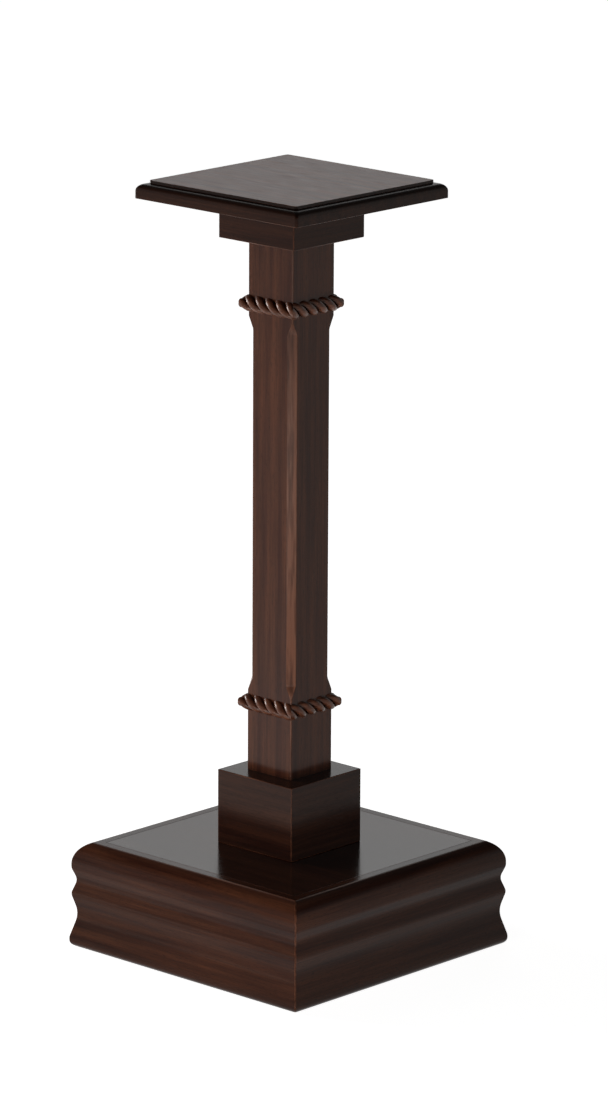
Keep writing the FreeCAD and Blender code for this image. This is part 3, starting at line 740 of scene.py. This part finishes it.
class STAND_OT_ropes(Operator):
    """Make the two bands of half-round rope moulding, carved from one stick and mitred"""

    bl_idname = "stand.ropes"
    bl_label = "Rope bands"

    def carved_section(self, shape, rope_radius):
        """The rope's section square to its axis: (distance, turn) points of one lobe per strand."""
        arm = rope_radius - shape.strand_radius
        lay_angle = math.atan(2 * math.pi * arm / shape.rope_lay)
        high = shape.strand_radius
        wide = shape.strand_radius / math.cos(lay_angle)
        points = []
        count = LOBE_POINTS * shape.strand_count
        lobe = 2 * math.pi / shape.strand_count
        for i in range(count):
            turn = 2 * math.pi * i / count
            off = (turn + lobe / 2) % lobe - lobe / 2
            a = (math.cos(off) / high) ** 2 + (math.sin(off) / wide) ** 2
            b = arm * math.cos(off) / high ** 2
            c = (arm / high) ** 2 - 1
            reach = (b + math.sqrt(b * b - a * c)) / a
            points.append((reach, turn))
        return points

    def execute(self, context):
        shape = context.scene.stand_shape
        face = UPPER_ROPE_LOW.x
        rope_radius = (UPPER_ROPE_HIGH.z - UPPER_ROPE_LOW.z) / 2
        axis_x = UPPER_ROPE_HIGH.x - rope_radius
        reach = UPPER_ROPE_HIGH.x + ROPE_SPARE
        section = self.carved_section(shape, rope_radius)
        bpy.ops.object.select_all(action="DESELECT")
        bpy.ops.mesh.primitive_circle_add(vertices=len(section), radius=rope_radius)
        rope = bpy.context.object
        rope.name = "rope_stick"
        start_turn = 2 * math.pi * reach / shape.rope_lay + math.pi / shape.strand_count
        for vertex, (radius, turn) in zip(rope.data.vertices, section):
            angle = turn + start_turn
            vertex.co = (radius * math.cos(angle), -reach, radius * math.sin(angle))
        bpy.ops.object.modifier_add(type="SCREW")
        screw = rope.modifiers[-1]
        screw.axis = "Y"
        screw.angle = 2 * math.pi * 2 * reach / shape.rope_lay
        screw.screw_offset = 2 * reach
        screw.steps = round(2 * reach / ROPE_STEP)
        screw.render_steps = screw.steps
        screw.use_normal_calculate = True
        bpy.ops.object.modifier_apply(modifier=screw.name)
        # How far out each point lies: the carved walnut lightens the crests, rubbed stain with a
        # painted highlight, and darkens the grooves, pooled stain with painted shade.
        crest = rope.data.attributes.new("crest", "FLOAT", "POINT")
        low = min(radius for radius, turn in section)
        for vertex in rope.data.vertices:
            radius = math.hypot(vertex.co.x, vertex.co.z)
            crest.data[vertex.index].value = (radius - low) / (rope_radius - low)
        rope.data.transform(Matrix.Translation((axis_x, 0, 0)))
        edit(rope)
        bpy.ops.mesh.select_all(action="SELECT")
        bpy.ops.mesh.fill_holes(sides=0)
        bpy.ops.mesh.normals_make_consistent(inside=False)
        cut_off((face, 0, 0), (1, 0, 0))
        cut_off((shape.glue_line, 0, 0), (1, 1, 0))
        cut_off((shape.glue_line, 0, 0), (1, -1, 0))
        clean_up(smooth_angle=50)
        bands = {"upper_rope": UPPER_ROPE_LOW.z + rope_radius,
                 "lower_rope": LOWER_ROPE_LOW.z + rope_radius}
        for prefix, height in bands.items():
            for side, turn in SIDES.items():
                piece = copy_of(rope, f"{prefix}_{side}_wood")
                piece.data.transform(Matrix.Rotation(math.radians(turn), 4, "Z"))
                piece.data.transform(Matrix.Translation((0, 0, height)))
                finish = walnut(GRAIN_OF_SIDE[side], "carved")
                stand_for(piece, f"{prefix}_{side}", finish)
        bpy.data.objects.remove(rope)
        return {"FINISHED"}


class STAND_OT_inside(Operator):
    """Finish the pieces inside and under the stand, which keep their CAD shapes"""

    bl_idname = "stand.inside"
    bl_label = "Inner pieces"

    def execute(self, context):
        pine = ["column_head_block", "column_foot_block"]
        pine += [f"deck_cleat_{side}" for side in SIDES]
        pine += [f"corner_block_{corner}" for corner in CORNERS]
        steel = ["top_screws", "lag_bolt", "bolt_washer"]
        for names, finish in ((pine, "sawn_pine"), (steel, "zinc_plated_steel")):
            for name in names:
                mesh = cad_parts[name].data
                mesh.materials.clear()
                mesh.materials.append(bpy.data.materials[finish])
        return {"FINISHED"}


# ---- Studio --------------------------------------------------------------------------------------


# The photograph's camera, worked out from the object's outline: focal length in pixels of a picture
# 1094 pixels high, then where it stands and how it is turned, in metres and degrees.
CAMERA = {"focal": 5924.35, "picture": 1094, "distance": 6.65086, "azimuth": 43.24,
          "height": 2.15229, "down": 14.09, "aside": -0.1368, "roll": 0.2716}
SENSOR = 36.0  # millimetres along the picture's longer side

FLOOR_RADIUS = 30.0
# The floor's lift grows to full white between these distances from the stand, in metres.
LIFT_FROM, LIFT_TO = 0.5, 4.0
# The walls fade into the ceiling between these heights, each the sine of its angle above level.
WALL_HIGH, CEILING_LOW = 0.34, 0.6
CEILING_SHARE = 0.12  # the ceiling's light, as a share of the walls'


class STAND_OT_studio(Operator):
    """Set up the pale floor, the soft lamps and the camera"""

    bl_idname = "stand.studio"
    bl_label = "Studio"

    def execute(self, context):
        self.floor()
        self.world(context)
        self.lamps(context)
        self.camera(context)
        context.scene.view_settings.view_transform = "Standard"
        return {"FINISHED"}

    def seen_rays(self, tree):
        """One for a ray that shows the background: from the camera, mirrored or let through."""
        path = add_node(tree, "ShaderNodeLightPath").outputs
        seen = path["Is Camera Ray"]
        for kind in ("Is Glossy Ray", "Is Transmission Ray"):
            seen = add_node(tree, "ShaderNodeMath", {0: seen, 1: path[kind]},
                            operation="MAXIMUM").outputs[0]
        return seen

    def floor(self):
        """A wide painted floor, pale enough to look white, which keeps the object's shadow."""
        bpy.ops.object.select_all(action="DESELECT")
        bpy.ops.mesh.primitive_circle_add(vertices=96, radius=FLOOR_RADIUS, fill_type="NGON")
        floor = bpy.context.object
        floor.name = "studio_floor"
        material = new_material("painted_studio_floor")
        tree = material.node_tree
        paint = add_node(tree, "ShaderNodeBsdfDiffuse",
                         {"Color": (*bpy.context.scene.stand_finish.floor, 1)})
        place = add_node(tree, "ShaderNodeTexCoord").outputs["Object"]
        away = add_node(tree, "ShaderNodeVectorMath", {0: place},
                        operation="LENGTH").outputs["Value"]
        lift = add_node(tree, "ShaderNodeMapRange",
                        {"Value": away, "From Min": LIFT_FROM, "From Max": LIFT_TO,
                         "To Min": bpy.context.scene.stand_studio.floor_lift, "To Max": 1.0})
        strength = add_node(tree, "ShaderNodeMath", {0: self.seen_rays(tree), 1: lift.outputs[0]},
                            operation="MULTIPLY")
        glow = add_node(tree, "ShaderNodeEmission", {"Strength": strength.outputs[0]})
        both = add_node(tree, "ShaderNodeAddShader", {0: paint.outputs[0], 1: glow.outputs[0]})
        add_node(tree, "ShaderNodeOutputMaterial", {"Surface": both.outputs[0]})
        floor.data.materials.append(material)

    def world(self, context):
        """White walls, seen and mirrored, under a dark ceiling, with a dim light of their own."""
        world = bpy.data.worlds.new("studio")
        world.use_nodes = True
        tree = world.node_tree
        tree.nodes.clear()
        way = add_node(tree, "ShaderNodeTexCoord").outputs["Generated"]
        rise = add_node(tree, "ShaderNodeSeparateXYZ", {"Vector": way}).outputs["Z"]
        wall = add_node(tree, "ShaderNodeMapRange",
                        {"Value": rise, "From Min": WALL_HIGH, "From Max": CEILING_LOW,
                         "To Min": 1.0, "To Max": CEILING_SHARE})
        level = context.scene.stand_studio.world_level
        strength = add_node(tree, "ShaderNodeMapRange",
                            {"Value": self.seen_rays(tree), "To Min": level, "To Max": 1.0})
        light = add_node(tree, "ShaderNodeMath", {0: wall.outputs[0], 1: strength.outputs[0]},
                         operation="MULTIPLY")
        shine = add_node(tree, "ShaderNodeBackground",
                         {"Color": (1, 1, 1, 1), "Strength": light.outputs[0]})
        add_node(tree, "ShaderNodeOutputWorld", {"Surface": shine.outputs[0]})
        context.scene.world = world

    def lamps(self, context):
        """Soft boxes and lit panels: each one's place, what it faces, width, height and power."""
        studio = context.scene.stand_studio
        boxes = {
            "back": ((-2.36, 2.53, 2.45), (0, 0, 0.45), 2.4, 2.2, studio.back_power),
            "side": ((-2.88, -0.77, 0.76), (0, 0, 0.45), 1.2, 1.2, studio.side_power),
            "corner": ((1.1, -1.41, 0.14), (0, 0, 0.3), 0.6, 0.4, studio.corner_power),
            "left_corner": ((0.45, -1.4, 0.11), (0, 0, 0.42), 0.5, 0.35, studio.left_corner_power),
            "front_panel": ((-0.45, -1.0, 0.01), (-0.45, -1.0, 1), 1.0, 1.4,
                            studio.front_panel_power),
            "near_panel": ((0.5, -0.5, 0.01), (0.5, -0.5, 1), 0.5, 0.5, studio.near_panel_power),
        }
        for name, (place, target, wide, high, watts) in boxes.items():
            bpy.ops.object.light_add(type="AREA", location=place)
            lamp = bpy.context.object
            lamp.name = f"{name}_lamp"
            lamp.data.shape = "RECTANGLE"
            lamp.data.size = wide
            lamp.data.size_y = high
            lamp.data.energy = watts
            lamp.visible_camera = False
            away = Vector(place) - Vector(target)
            lamp.rotation_euler = away.to_track_quat("Z", "Y").to_euler()

    def camera(self, context):
        """The photograph's camera."""
        azimuth = math.radians(CAMERA["azimuth"])
        heading = math.radians(CAMERA["azimuth"] + CAMERA["aside"])
        down = math.radians(CAMERA["down"])
        roll = math.radians(CAMERA["roll"])
        distance = CAMERA["distance"]
        place = Vector((math.sin(azimuth) * distance, -math.cos(azimuth) * distance,
                        CAMERA["height"]))
        forward = Vector((-math.sin(heading) * math.cos(down), math.cos(heading) * math.cos(down),
                          -math.sin(down)))
        level = Vector((math.cos(heading), math.sin(heading), 0))
        upright = level.cross(forward)
        across = level * math.cos(roll) + upright * math.sin(roll)
        upward = upright * math.cos(roll) - level * math.sin(roll)
        turn = Matrix((across, upward, -forward)).transposed()
        bpy.ops.object.camera_add()
        camera = bpy.context.object
        camera.name = "photograph_camera"
        camera.matrix_world = Matrix.Translation(place) @ turn.to_4x4()
        camera.data.sensor_width = SENSOR
        camera.data.lens = CAMERA["focal"] * SENSOR / CAMERA["picture"]
        camera.data.clip_end = 100.0
        context.scene.camera = camera


class STAND_PT_pieces(Panel):
    """The stand's pieces, finishes and studio"""

    bl_idname = "STAND_PT_pieces"
    bl_label = "Pedestal Column Stand"
    bl_space_type = "VIEW_3D"
    bl_region_type = "UI"
    bl_category = "Stand"

    def draw(self, context):
        for operator in OPERATORS:
            self.layout.operator(operator.bl_idname)
        for group in GROUPS:
            settings = getattr(context.scene, group)
            column = self.layout.column()
            for name in settings.__annotations__:
                column.prop(settings, name)


GROUPS = {"stand_shape": StandShape, "stand_finish": StandFinish, "stand_studio": StandStudio}
OPERATORS = (STAND_OT_finishes, STAND_OT_top, STAND_OT_capital, STAND_OT_column, STAND_OT_ropes,
             STAND_OT_plinth, STAND_OT_base, STAND_OT_inside, STAND_OT_studio)


def register():
    """Registers the properties, the operators and the panel."""
    for name, group in GROUPS.items():
        bpy.utils.register_class(group)
        setattr(bpy.types.Scene, name, PointerProperty(type=group))
    for one in (*OPERATORS, STAND_PT_pieces):
        bpy.utils.register_class(one)


def unregister():
    """Takes them back."""
    for one in reversed((*OPERATORS, STAND_PT_pieces)):
        bpy.utils.unregister_class(one)
    for name, group in GROUPS.items():
        delattr(bpy.types.Scene, name)
        bpy.utils.unregister_class(group)


def main():
    """Builds the whole stand."""
    register()
    for operator in OPERATORS:
        group, name = operator.bl_idname.split(".")
        getattr(getattr(bpy.ops, group), name)()


if __name__ == "__main__":
    main()
